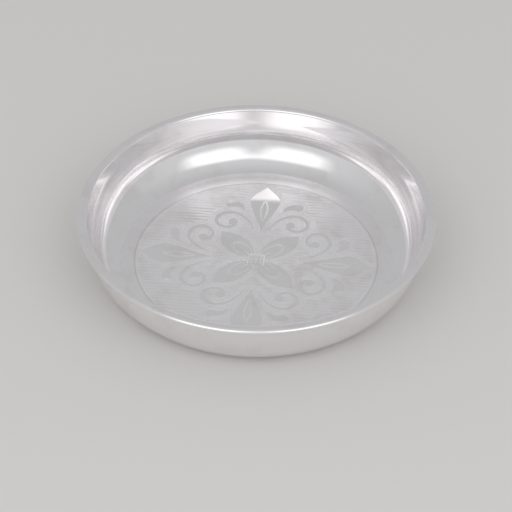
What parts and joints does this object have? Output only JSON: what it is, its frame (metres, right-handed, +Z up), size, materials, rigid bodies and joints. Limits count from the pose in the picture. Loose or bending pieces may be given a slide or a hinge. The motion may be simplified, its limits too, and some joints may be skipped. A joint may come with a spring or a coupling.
{
  "type": "offering plate",
  "caption": "Round spun metal offering plate with an engraved floor, deep curved wall and rolled rim.",
  "frame": {"origin": "centre of the flat underside that the plate rests on", "axes": "+Z up along the plate's axis, out of its mouth; the engraving's four large buds point along +X, +Y, -X and -Y"},
  "size_m": [0.254, 0.254, 0.045],
  "materials": {
    "silver_plate": "spun, silver plated, polished, engraved floor",
    "wire_metal": "drawn, unpolished"
  },
  "bodies": {
    "root": {"dish": "silver_plate", "rim_wire": "wire_metal"}
  },
  "joints": []
}
